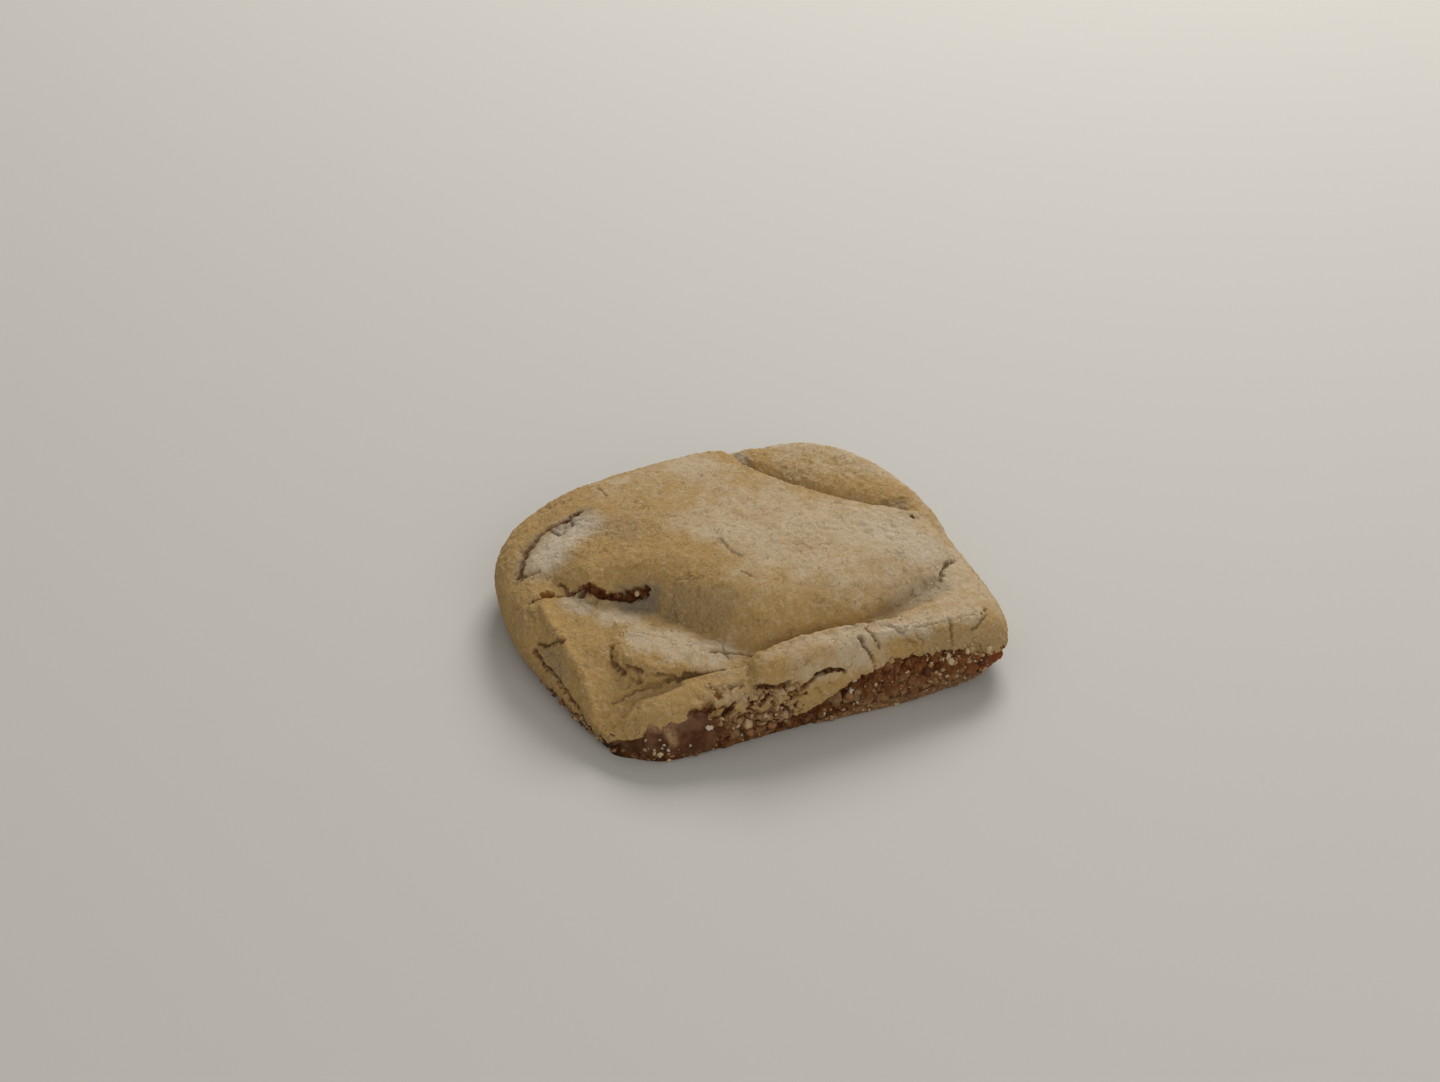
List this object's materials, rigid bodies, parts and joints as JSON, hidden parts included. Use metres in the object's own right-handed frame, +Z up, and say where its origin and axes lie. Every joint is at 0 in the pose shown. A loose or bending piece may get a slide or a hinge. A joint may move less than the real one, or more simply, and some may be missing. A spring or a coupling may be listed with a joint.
{
  "type": "chocolate filled cookie",
  "caption": "Square pale cookie of dough folded round a chocolate layer that shows along its front side.",
  "frame": {"origin": "middle of the bounding box's underside, on the surface the cookie lies on", "axes": "+X along the front side to the right, +Y to the back, +Z up"},
  "size_m": [0.0896, 0.0819, 0.0214],
  "materials": {
    "dough": "matt baked dough, pale golden, fine sugary grain",
    "filling": "soft chocolate, smooth at the near left and crumbly elsewhere"
  },
  "bodies": {
    "root": {"dough": "dough", "filling": "filling"}
  },
  "joints": []
}
